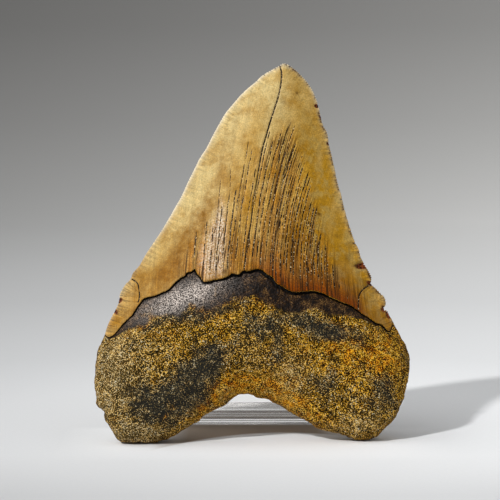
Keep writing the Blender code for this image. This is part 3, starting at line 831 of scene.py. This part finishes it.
class Nodes:
    """A short way to write a material's nodes."""

    def __init__(self, name):
        self.material = bpy.data.materials.new(name)
        self.material.use_nodes = True
        self.tree = self.material.node_tree
        self.shader = self.tree.nodes["Principled BSDF"]

    def node(self, kind, **values):
        made = self.tree.nodes.new(kind)
        for key, value in values.items():
            setattr(made, key, value)
        return made

    def put(self, socket, value):
        if isinstance(value, bpy.types.NodeSocket):
            self.tree.links.new(value, socket)
        elif socket.type == "RGBA" and not isinstance(value, tuple):
            socket.default_value = (value, value, value, 1.0)
        else:
            socket.default_value = value

    def place(self):
        return self.node("ShaderNodeTexCoord").outputs["Object"]

    def axes(self, where):
        """x, y and z of a place."""
        made = self.node("ShaderNodeSeparateXYZ")
        self.put(made.inputs[0], where)
        return made.outputs

    def masks(self, names):
        return [self.mask(name) for name in names.split()]

    def mask(self, name):
        return self.node("ShaderNodeAttribute", attribute_name=name).outputs["Fac"]

    def math(self, operation, a, b=0.0, clamp=False):
        made = self.node("ShaderNodeMath", operation=operation, use_clamp=clamp)
        self.put(made.inputs[0], a)
        self.put(made.inputs[1], b)
        return made.outputs[0]

    def times(self, a, b):
        return self.math("MULTIPLY", a, b)

    def plus(self, a, b, clamp=False):
        return self.math("ADD", a, b, clamp)

    def minus(self, a, b, clamp=False):
        return self.math("SUBTRACT", a, b, clamp)

    def mix(self, share, a, b, blend="MIX"):
        made = self.node("ShaderNodeMix", data_type="RGBA", blend_type=blend)
        self.put(made.inputs[0], share)
        self.put(made.inputs[6], a)
        self.put(made.inputs[7], b)
        return made.outputs[2]

    def total(self, *parts):
        """The sum of these values, each with its weight."""
        weighed = [self.times(value, weight) for value, weight in parts]
        result = weighed[0]
        for part in weighed[1:]:
            result = self.plus(result, part)
        return result

    def tinted(self, colour, by):
        return self.mix(1.0, colour, by, "MULTIPLY")

    def set(self, name, value):
        """Sets one of the shader's own inputs."""
        self.put(self.shader.inputs[name], value)

    def ramp(self, at, stops):
        made = self.node("ShaderNodeValToRGB")
        self.put(made.inputs[0], at)
        elements = made.color_ramp.elements
        elements[0].position, elements[0].color = stops[0]
        elements[1].position, elements[1].color = stops[1]
        for place, colour in stops[2:]:
            elements.new(place).color = colour
        return made.outputs["Color"]

    def limits(self, value, low, high, to_low=0.0, to_high=1.0):
        made = self.node("ShaderNodeMapRange", clamp=True)
        for socket, number in zip(made.inputs, (value, low, high, to_low, to_high)):
            self.put(socket, number)
        return made.outputs[0]

    def noise(self, where, scale, detail=3.0, roughness=0.5, stretch=None):
        if stretch:
            mapping = self.node("ShaderNodeMapping")
            self.put(mapping.inputs["Vector"], where)
            mapping.inputs["Scale"].default_value = stretch
            where = mapping.outputs[0]
        made = self.node("ShaderNodeTexNoise")
        self.put(made.inputs["Vector"], where)
        made.inputs["Scale"].default_value = scale
        made.inputs["Detail"].default_value = detail
        made.inputs["Roughness"].default_value = roughness
        return made.outputs["Fac"]

    def tilted(self, vector, degrees, stretch):
        """The vector turned about the Y axis, then stretched."""
        turned = self.node("ShaderNodeMapping")
        turned.inputs["Rotation"].default_value = (0.0, math.radians(degrees), 0.0)
        self.put(turned.inputs["Vector"], vector)
        drawn = self.node("ShaderNodeVectorMath", operation="MULTIPLY")
        self.put(drawn.inputs[0], turned.outputs[0])
        drawn.inputs[1].default_value = stretch
        return drawn.outputs[0]

    def shifted(self, where, distance):
        made = self.node("ShaderNodeVectorMath", operation="ADD")
        self.put(made.inputs[0], where)
        made.inputs[1].default_value = (distance, distance, distance)
        return made.outputs[0]

    def bump(self, height, distance, strength=1.0, normal=None):
        made = self.node("ShaderNodeBump")
        made.inputs["Strength"].default_value = strength
        made.inputs["Distance"].default_value = distance
        self.put(made.inputs["Height"], height)
        if normal is not None:
            self.put(made.inputs["Normal"], normal)
        return made.outputs[0]


def enamel_material():
    """Cream, gold, olive and orange enamel, cloudy, streaked along the blade and finely cracked."""
    m = Nodes("fossil_enamel")
    place = m.place()
    crown = m.node("ShaderNodeUVMap", uv_map="crown").outputs[0]
    crack, warm, pale, peel, field, edge = m.masks("crack warm pale peel field edge")
    clouds = m.noise(place, 170.0, 4.0, 0.6)
    blotches = m.noise(place, 520.0, 3.0, 0.6)
    specks = m.noise(place, 2300.0, 2.0, 0.75)
    streaks = m.noise(crown, 80.0, 3.0, 0.75, stretch=(1.0, 0.05, 1.0))
    grit = m.noise(place, 1700.0, 2.0, 0.7)

    colour = m.mix(m.limits(clouds, 0.35, 0.65), srgb(170, 124, 34), srgb(200, 164, 90))
    colour = m.mix(m.times(m.mask("olive"), 0.85), colour, srgb(188, 138, 18))
    cloud = m.total((clouds, 0.6), (blotches, 0.4))
    cloudy = m.limits(cloud, 0.38, 0.60, 0.42, 0.98)
    colour = m.mix(m.times(pale, cloudy), colour, srgb(210, 186, 126))
    brown = m.times(m.mask("stain"), m.limits(cloud, 0.4, 0.6, 1.0, 0.5))
    colour = m.mix(brown, colour, srgb(140, 94, 8))
    drawn = m.noise(crown, 60.0, 2.0, 0.6, stretch=(1.0, 0.10, 1.0))
    amber = m.times(field, m.limits(drawn, 0.42, 0.58))
    colour = m.mix(m.times(amber, 0.45), colour, srgb(176, 108, 8))
    lumps = m.noise(m.shifted(place, 2.2), 260.0, 3.0, 0.6)
    mottle = m.times(m.mask("olive"), m.limits(lumps, 0.46, 0.62))
    colour = m.mix(m.times(mottle, 0.55), colour, srgb(186, 160, 92))
    colour = m.mix(m.limits(warm, 0.0, 0.95), colour, srgb(130, 62, 0))
    shade = m.limits(streaks, 0.32, 0.68, 0.58, 1.36)
    lined = m.math("MAXIMUM", field, m.times(warm, 0.9))
    streaked = m.plus(0.30, m.times(lined, 0.70))
    colour = m.mix(streaked, colour, m.tinted(colour, shade))
    grainy = m.plus(0.50, m.times(field, 0.50))
    colour = m.mix(grainy, colour, m.tinted(colour, m.limits(specks, 0.34, 0.66, 0.56, 1.44)))
    colour = m.tinted(colour, m.limits(blotches, 0.3, 0.7, 0.92, 1.07))
    # Peeled enamel: pale grit whose whitest streaks are partly a painted highlight.
    peeled = m.mix(m.limits(grit, 0.38, 0.62), srgb(156, 108, 56), srgb(252, 236, 214))
    colour = m.mix(m.times(peel, m.limits(streaks, 0.35, 0.6, 0.25, 1.0)), colour, peeled)
    colour = m.mix(m.mask("spot"), colour, srgb(74, 44, 8))
    # Hair cracks between the modelled ones: thin level lines of a noise drawn out along the blade.
    hairs = m.noise(crown, 90.0, 1.0, 0.5, stretch=(1.0, 0.022, 1.0))
    hair = m.limits(m.math("ABSOLUTE", m.minus(hairs, 0.5)), 0.014, 0.032, 1.0, 0.0)
    hair = m.times(hair, m.times(lined, 0.95))
    colour = m.mix(hair, colour, srgb(60, 34, 4))
    # Short lines square to the cutting edge, and light and dark serrations along it.
    ticks = m.node("ShaderNodeTexNoise", noise_dimensions="1D")
    m.put(ticks.inputs["W"], m.mask("along"))
    ticks.inputs["Scale"].default_value = 110.0
    ticks.inputs["Detail"].default_value = 2.0
    margin = m.mask("margin")
    lines = m.limits(ticks.outputs["Fac"], 0.35, 0.65, 0.55, 1.35)
    colour = m.mix(margin, colour, m.tinted(colour, lines))
    notch = m.times(edge, m.minus(1.0, m.mask("teeth")))
    white_edge = m.times(edge, m.limits(pale, 0.2, 0.9, 0.2, 0.9))
    colour = m.mix(white_edge, colour, srgb(250, 236, 206))
    colour = m.mix(m.limits(notch, 0.08, 0.45, 0.0, 0.95), colour, srgb(66, 34, 6))
    bitten = m.mix(m.limits(grit, 0.42, 0.58), srgb(18, 8, 3), srgb(140, 70, 30))
    colour = m.mix(m.limits(m.mask("chip"), 0.1, 0.7), colour, bitten)
    # Cracks: a dark line between two lips lightened as a painted highlight.
    lip = m.limits(crack, 0.02, 0.16)
    colour = m.mix(lip, colour, m.tinted(colour, (1.25, 1.25, 1.3, 1.0)))
    filling = m.mix(m.limits(grit, 0.57, 0.64), srgb(24, 14, 3), srgb(226, 196, 146))
    colour = m.mix(m.limits(crack, 0.20, 0.46), colour, filling)

    m.set("Base Color", colour)
    rough = m.plus(m.limits(specks, 0.3, 0.7, 0.34, 0.50), m.times(peel, -0.10), clamp=True)
    m.set("Roughness", rough)
    m.set("Specular IOR Level", 0.10)
    relief = m.total(
        (streaks, 0.20), (specks, 0.26), (hair, -0.16),
        (m.times(peel, grit), 0.5), (m.times(margin, ticks.outputs["Fac"]), 0.5),
    )  # fmt: skip
    m.set("Normal", m.bump(relief, 0.0006, 0.8))
    return m.material


def root_material(name, shine):
    """Sandy root from near black to ochre, orange and cream, with a dark satin band under the crown."""
    m = Nodes(name)
    place = m.place()
    crack, warm, pale, stain, band = m.masks("crack warm pale stain band")
    grains = m.noise(place, 2750.0, 1.0, 0.6)
    pebbles = m.noise(place, 900.0, 2.0, 0.7)
    patches = m.noise(place, 170.0, 4.0, 0.65)
    hues = m.noise(m.shifted(place, 3.1), 2400.0, 1.0, 0.6)
    ragged = m.limits(patches, 0.3, 0.7, -0.45, 0.45)
    stain = m.limits(m.plus(stain, m.times(ragged, 0.9)), 0.1, 0.9)
    warm = m.limits(m.minus(warm, m.times(ragged, 0.8)), 0.0, 0.9)
    clumps = m.noise(m.shifted(place, 7.3), 300.0, 2.0, 0.6)
    # Streaks that follow each lobe, down to the left and down to the right.
    leftward = m.noise(m.tilted(place, 32.0, (0.3, 1.0, 1.0)), 430.0, 3.0, 0.65)
    rightward = m.noise(m.tilted(place, -25.0, (0.3, 1.0, 1.0)), 430.0, 3.0, 0.65)
    side = m.axes(place)[0]
    streaks = m.mix(m.limits(side, -0.002, 0.010), leftward, rightward)
    # The lightness of each grain.
    level = m.total(
        (grains, 0.90), (pebbles, 0.22), (m.minus(streaks, 0.5), 0.22), (clumps, 0.16),
        (1.0, -0.160), (stain, -0.070), (warm, 0.026), (pale, 0.018),
    )  # fmt: skip
    ochre = m.ramp(level, [
        (0.435, srgb(32, 22, 0)), (0.60, srgb(255, 204, 74)), (0.465, srgb(60, 48, 6)),
        (0.50, srgb(114, 83, 4)), (0.545, srgb(208, 142, 0)),
    ])  # fmt: skip
    cream = m.ramp(level, [
        (0.435, srgb(22, 20, 8)), (0.60, srgb(248, 238, 208)), (0.465, srgb(53, 50, 24)),
        (0.50, srgb(104, 95, 54)), (0.545, srgb(176, 156, 102)),
    ])  # fmt: skip
    hue = m.total((hues, 0.75), (clumps, 0.25))
    hue = m.minus(m.limits(hue, 0.53, 0.64), m.times(warm, 0.5), clamp=True)
    hue = m.plus(hue, m.times(m.math("MAXIMUM", pale, stain), 0.5), clamp=True)
    hue = m.plus(hue, m.limits(side, -0.040, -0.020, 0.18, 0.0), clamp=True)
    earth = m.mix(hue, ochre, cream)
    rust = m.limits(m.noise(m.shifted(place, 9.4), 420.0, 2.0, 0.6), 0.46, 0.58, 0.06, 0.80)
    earth = m.mix(m.times(warm, rust), earth, srgb(216, 154, 0), "OVERLAY")
    earth = m.mix(m.times(pale, 0.30), earth, srgb(118, 94, 52))
    # Dark stains in a grey that also stands in for a painted sheen on them.
    earth = m.mix(m.times(stain, 0.42), earth, srgb(50, 52, 52))
    # The band's skin: fine dark pits and worn brown tops.
    skin = m.noise(m.shifted(place, 5.7), 1350.0, 1.0, 0.5)
    worn = m.total((grains, 0.55), (clumps, 0.45))
    worn = m.plus(worn, m.limits(side, 0.004, 0.020, -0.012, 0.022))
    thin = m.ramp(worn, [
        (0.40, srgb(5, 1, 0)), (0.64, srgb(120, 88, 46)), (0.48, srgb(22, 10, 1)), (0.56, srgb(50, 29, 8)),
    ])  # fmt: skip
    # Painted glints: pale specks on the band's left part stand in for its highlights.
    glint = m.mix(m.limits(grains, 0.44, 0.58), srgb(40, 27, 18), srgb(236, 222, 210))
    thin = m.mix(m.times(m.mask("band_glint"), m.limits(clumps, 0.35, 0.6, 0.6, 0.95)), thin, glint)
    edge_of_band = m.limits(m.plus(band, m.times(ragged, 0.7)), 0.35, 0.8)
    earth = m.mix(edge_of_band, earth, thin)
    earth = m.mix(m.times(m.mask("edge"), 0.25), earth, srgb(96, 58, 28))
    earth = m.mix(m.limits(crack, 0.1, 0.8), earth, srgb(6, 5, 4))

    m.set("Base Color", earth)
    dull = m.limits(grains, 0.35, 0.65, 0.95, 0.6)
    satin = m.mix(m.mask("band_glint"), m.limits(skin, 0.3, 0.7, 0.65, 0.45), m.limits(skin, 0.3, 0.7, 0.40, 0.28))
    m.set("Roughness", m.mix(edge_of_band, dull, satin))
    m.set("Specular IOR Level", shine)
    relief = m.total((grains, 0.6), (pebbles, 0.6), (streaks, 0.9))
    relief = m.mix(edge_of_band, relief, m.times(skin, 0.45))
    m.set("Normal", m.bump(relief, 0.0014, 0.9))
    return m.material


def acrylic_material():
    m = Nodes("clear_acrylic")
    place = m.place()
    m.set("Base Color", (0.99, 0.975, 0.96, 1.0))
    m.set("Transmission Weight", 1.0)
    m.set("IOR", 1.49)
    haze = m.noise(place, 40.0, 2.0)
    m.set("Roughness", m.limits(haze, 0.3, 0.7, 0.01, 0.04))
    m.set("Normal", m.bump(haze, 0.00005, 0.02))
    return m.material


# ==== stage
KEY_STRENGTH = 2.05
KEY_ANGLE_DEG = 3.7
KEY_FROM = (-0.85, -0.90, 1.0)
SKY_COLOUR = (0.98, 0.99, 1.0, 1.0)
# The soft light's strength: direction from, to, then strength at each.
WORLD_BY_HEIGHT = (0.0, 0.8, 0.14, 0.60)
WORLD_BY_DEPTH = (-0.2, 0.8, 1.0, 0.35)
BOX_FROM = (-0.65, -0.05, 0.76)
BOX_LIGHT = (0.82, 0.97, 0.0, 1.4)  # by the cosine from its middle
SWEEP_FLAT = 0.95  # m, radius of the flat floor
SWEEP_RINGS = (0.05, 0.1, 0.15, 0.2, 0.3, 0.4, 0.5, 0.6, 0.7, 0.8)  # m, rows of points on it
SWEEP_CURVE = 0.9  # m, radius of the curve up into the wall
SWEEP_CURVE_ROWS = 24
SWEEP_AROUND = 128
SWEEP_END_DEG = 62.0
SWEEP_BELOW = 0.00015  # m under the object, so that clear and paper faces never meet
# The paper's tone along its sweep, a painted falloff of light that darkens it further out and up: metres out
# from the middle, share.
SWEEP_PAINTED_FALLOFF = [(0.0, 0.83), (0.10, 0.80), (0.19, 0.69), (0.40, 0.57), (0.70, 0.48), (1.0, 0.41), (1.34, 0.25),
              (1.54, 0.175), (1.9, 0.12), (2.6, 0.10)]  # fmt: skip


def make_sweep():
    """A round paper floor that curves up into a wall all round, so that every view has the same backdrop."""
    profile = [(r, 0.0, r) for r in SWEEP_RINGS + (SWEEP_FLAT,)]
    for i in range(1, SWEEP_CURVE_ROWS + 1):
        a = i / SWEEP_CURVE_ROWS * math.radians(SWEEP_END_DEG)
        out = SWEEP_FLAT + SWEEP_CURVE * math.sin(a)
        profile.append((out, SWEEP_CURVE * (1 - math.cos(a)), SWEEP_FLAT + SWEEP_CURVE * a))
    around = SWEEP_AROUND
    verts = [(0.0, 0.0, -SWEEP_BELOW)]
    path = [0.0]
    for r, z, s in profile:
        for k in range(around):
            a = 2 * math.pi * k / around
            verts.append((r * math.cos(a), r * math.sin(a), z - SWEEP_BELOW))
            path.append(s)
    faces = [(0, 1 + k, 1 + (k + 1) % around) for k in range(around)]
    for ring in range(len(profile) - 1):
        for k in range(around):
            a = 1 + ring * around + k
            b = 1 + ring * around + (k + 1) % around
            faces.append((a, a + around, b + around, b))
    data = bpy.data.meshes.new("paper_sweep")
    data.from_pydata(verts, [], faces)
    data.update()
    data.shade_smooth()
    layer = data.attributes.new("path", "FLOAT", "POINT")
    layer.data.foreach_set("value", np.array(path, dtype=np.float32))
    return add_object("paper_sweep", data)


def paper_material():
    m = Nodes("paper")
    place = m.place()
    path = m.mask("path")
    # Painted falloff of light: the paper darker further out and up its sweep.
    reach = SWEEP_PAINTED_FALLOFF[-1][0]
    stops = [(s / reach, (v, v, v, 1.0)) for s, v in (SWEEP_PAINTED_FALLOFF[0], SWEEP_PAINTED_FALLOFF[-1], *SWEEP_PAINTED_FALLOFF[1:-1])]
    tone = m.ramp(m.math("DIVIDE", path, reach), stops)
    fibre = m.noise(place, 900.0, 2.0, 0.7)
    tone = m.tinted(tone, m.limits(fibre, 0.3, 0.7, 0.985, 1.015))
    x, y, _ = m.axes(place)
    # Painted light: the paper brighter to the right and darker to the left.
    aside = m.math("DIVIDE", x, m.math("MAXIMUM", path, 1.0))
    aside = m.limits(aside, -0.25, 0.25, -0.30, 0.30)
    tone = m.tinted(tone, m.math("EXPONENT", aside))
    stops = [(0.1, (0.985, 0.993, 1.0, 1.0)), (1.0, (1.0, 0.985, 0.95, 1.0))]
    tint = m.ramp(m.math("DIVIDE", path, 1.6), stops)
    tone = m.tinted(tone, tint)
    tone = m.tinted(tone, m.limits(y, -0.11, -0.05, 0.86, 1.0))
    # Painted shade on the paper under the tooth's arch, tinted brown as painted light thrown back off the
    # tooth.
    across = m.limits(m.math("ABSOLUTE", x), 0.022, 0.034, 1.0, 0.0)
    from_middle = m.minus(x, 0.011)
    bowed = m.plus(y, m.times(m.times(from_middle, from_middle), 16.0))
    front = m.limits(bowed, -0.0110, -0.0085)
    back = m.limits(y, 0.004, 0.012, 1.0, 0.0)
    under = m.times(across, m.times(front, back))
    # Light thrown back on to the paper just in front of it.
    near_front = m.limits(m.math("ABSOLUTE", x), 0.045, 0.065, 1.0, 0.0)
    near_front = m.times(near_front, m.limits(y, -0.060, -0.018))
    near_front = m.times(near_front, m.limits(y, -0.004, 0.002, 1.0, 0.0))
    tone = m.mix(near_front, tone, m.tinted(tone, (1.18, 1.18, 1.18, 1.0)))
    tone = m.mix(under, tone, m.tinted(tone, (0.46, 0.37, 0.29, 1.0)))
    m.set("Base Color", tone)
    m.set("Roughness", m.limits(fibre, 0.3, 0.7, 0.85, 0.95))
    m.set("Specular IOR Level", 0.1)
    m.set("Normal", m.bump(fibre, 0.00005, 0.3))
    return m.material


def sheet_section():
    """Side view of the bent sheet as (y, z) points: the outside of the bend, then the inside back again."""
    centre_y = UPRIGHT_FRONT_Y + BEND_RADIUS
    angles = [math.pi + i * math.pi / 2 / BEND_STEPS for i in range(BEND_STEPS + 1)]

    def bend(radius):
        """A quarter turn with the slight ripples that heat bending leaves."""
        line = []
        for i, a in enumerate(angles):
            ends = math.sin(math.pi * i / BEND_STEPS)
            r = radius + STAND_RIPPLE * ends * math.sin(2.0 * math.pi * i / RIPPLE_STEPS)
            line.append((centre_y + r * math.cos(a), BEND_RADIUS + r * math.sin(a)))
        return line

    back_y = UPRIGHT_FRONT_Y + FOOT_LENGTH
    outside = [(UPRIGHT_FRONT_Y, STAND_HEIGHT)] + bend(BEND_RADIUS) + [(back_y, 0.0)]
    inside_line = [(UPRIGHT_FRONT_Y + SHEET, STAND_HEIGHT)] + bend(BEND_RADIUS - SHEET) + [(back_y, SHEET)]
    return outside + inside_line[::-1]


def make_stand():
    """The CAD stand again, with a smooth bend and rounded, polished edges."""
    mesh = bmesh.new()
    left_x = STAND_X - STAND_WIDTH / 2
    ring = [mesh.verts.new(Vector((left_x, y, z)) * MM) for y, z in sheet_section()]
    side = mesh.faces.new(ring)
    pulled = bmesh.ops.extrude_face_region(mesh, geom=[side])["geom"]
    moved = [item for item in pulled if isinstance(item, bmesh.types.BMVert)]
    bmesh.ops.translate(mesh, verts=moved, vec=Vector((STAND_WIDTH, 0.0, 0.0)) * MM)
    bmesh.ops.recalc_face_normals(mesh, faces=mesh.faces)
    data = bpy.data.meshes.new("stand_clear")
    mesh.to_mesh(data)
    mesh.free()
    data.shade_smooth()
    obj = add_object("stand_clear", data)
    edge = obj.modifiers.new("polished_edges", "BEVEL")
    edge.width = STAND_EDGE * MM
    edge.segments = 4
    edge.limit_method = "ANGLE"
    edge.angle_limit = math.radians(40.0)
    edge.harden_normals = True
    return obj


def set_lights():
    key = bpy.data.lights.new("key", "SUN")
    key.energy = KEY_STRENGTH
    key.angle = math.radians(KEY_ANGLE_DEG)
    lamp = add_object("key", key)
    lamp.rotation_euler = Vector(KEY_FROM).to_track_quat("Z", "Y").to_euler()
    world = bpy.data.worlds.new("soft_fill")
    world.use_nodes = True
    tree = world.node_tree
    tree.nodes["Background"].inputs[0].default_value = SKY_COLOUR
    # Soft light from above and in front, weaker low down and behind.
    up = tree.nodes.new("ShaderNodeSeparateXYZ")
    place = tree.nodes.new("ShaderNodeTexCoord")
    tree.links.new(place.outputs["Generated"], up.inputs[0])
    strength = tree.nodes.new("ShaderNodeMath")
    strength.operation = "MULTIPLY"

    def falling(source, socket, limits):
        fall = tree.nodes.new("ShaderNodeMapRange")
        for name, number in zip(("From Min", "From Max", "To Min", "To Max"), limits):
            fall.inputs[name].default_value = number
        tree.links.new(source, fall.inputs[0])
        tree.links.new(fall.outputs[0], socket)

    falling(up.outputs[2], strength.inputs[0], WORLD_BY_HEIGHT)
    falling(up.outputs[1], strength.inputs[1], WORLD_BY_DEPTH)
    # A broad soft box high on the left.
    toward = tree.nodes.new("ShaderNodeVectorMath")
    toward.operation = "DOT_PRODUCT"
    toward.inputs[1].default_value = Vector(BOX_FROM).normalized()
    tree.links.new(place.outputs["Generated"], toward.inputs[0])
    total = tree.nodes.new("ShaderNodeMath")
    total.operation = "ADD"
    tree.links.new(strength.outputs[0], total.inputs[0])
    falling(toward.outputs["Value"], total.inputs[1], BOX_LIGHT)
    tree.links.new(total.outputs[0], tree.nodes["Background"].inputs[1])
    bpy.context.scene.world = world


def set_camera():
    camera = bpy.data.cameras.new("camera")
    camera.lens = CAMERA_LENS
    camera.sensor_width = 36.0
    camera.clip_start = 0.01
    obj = add_object("camera", camera)
    obj.location = Vector(CAMERA_MM) * MM
    obj.rotation_euler = (math.radians(90.0 - CAMERA_DOWN_DEG), 0.0, 0.0)
    bpy.context.scene.camera = obj


# ==== the scene
bpy.context.scene.view_settings.view_transform = "Standard"
set_camera()
set_lights()
sweep = make_sweep()
sweep.data.materials.append(paper_material())

tooth = make_tooth()
tooth.data.materials.append(enamel_material())
tooth.data.materials.append(root_material("fossil_root", 0.09))
tooth.data.materials.append(root_material("fossil_band", 0.18))
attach(tooth, "root")
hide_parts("tooth")

stand = make_stand()
stand.visible_shadow = False
stand.data.materials.append(acrylic_material())
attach(stand, "root")
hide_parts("stand")
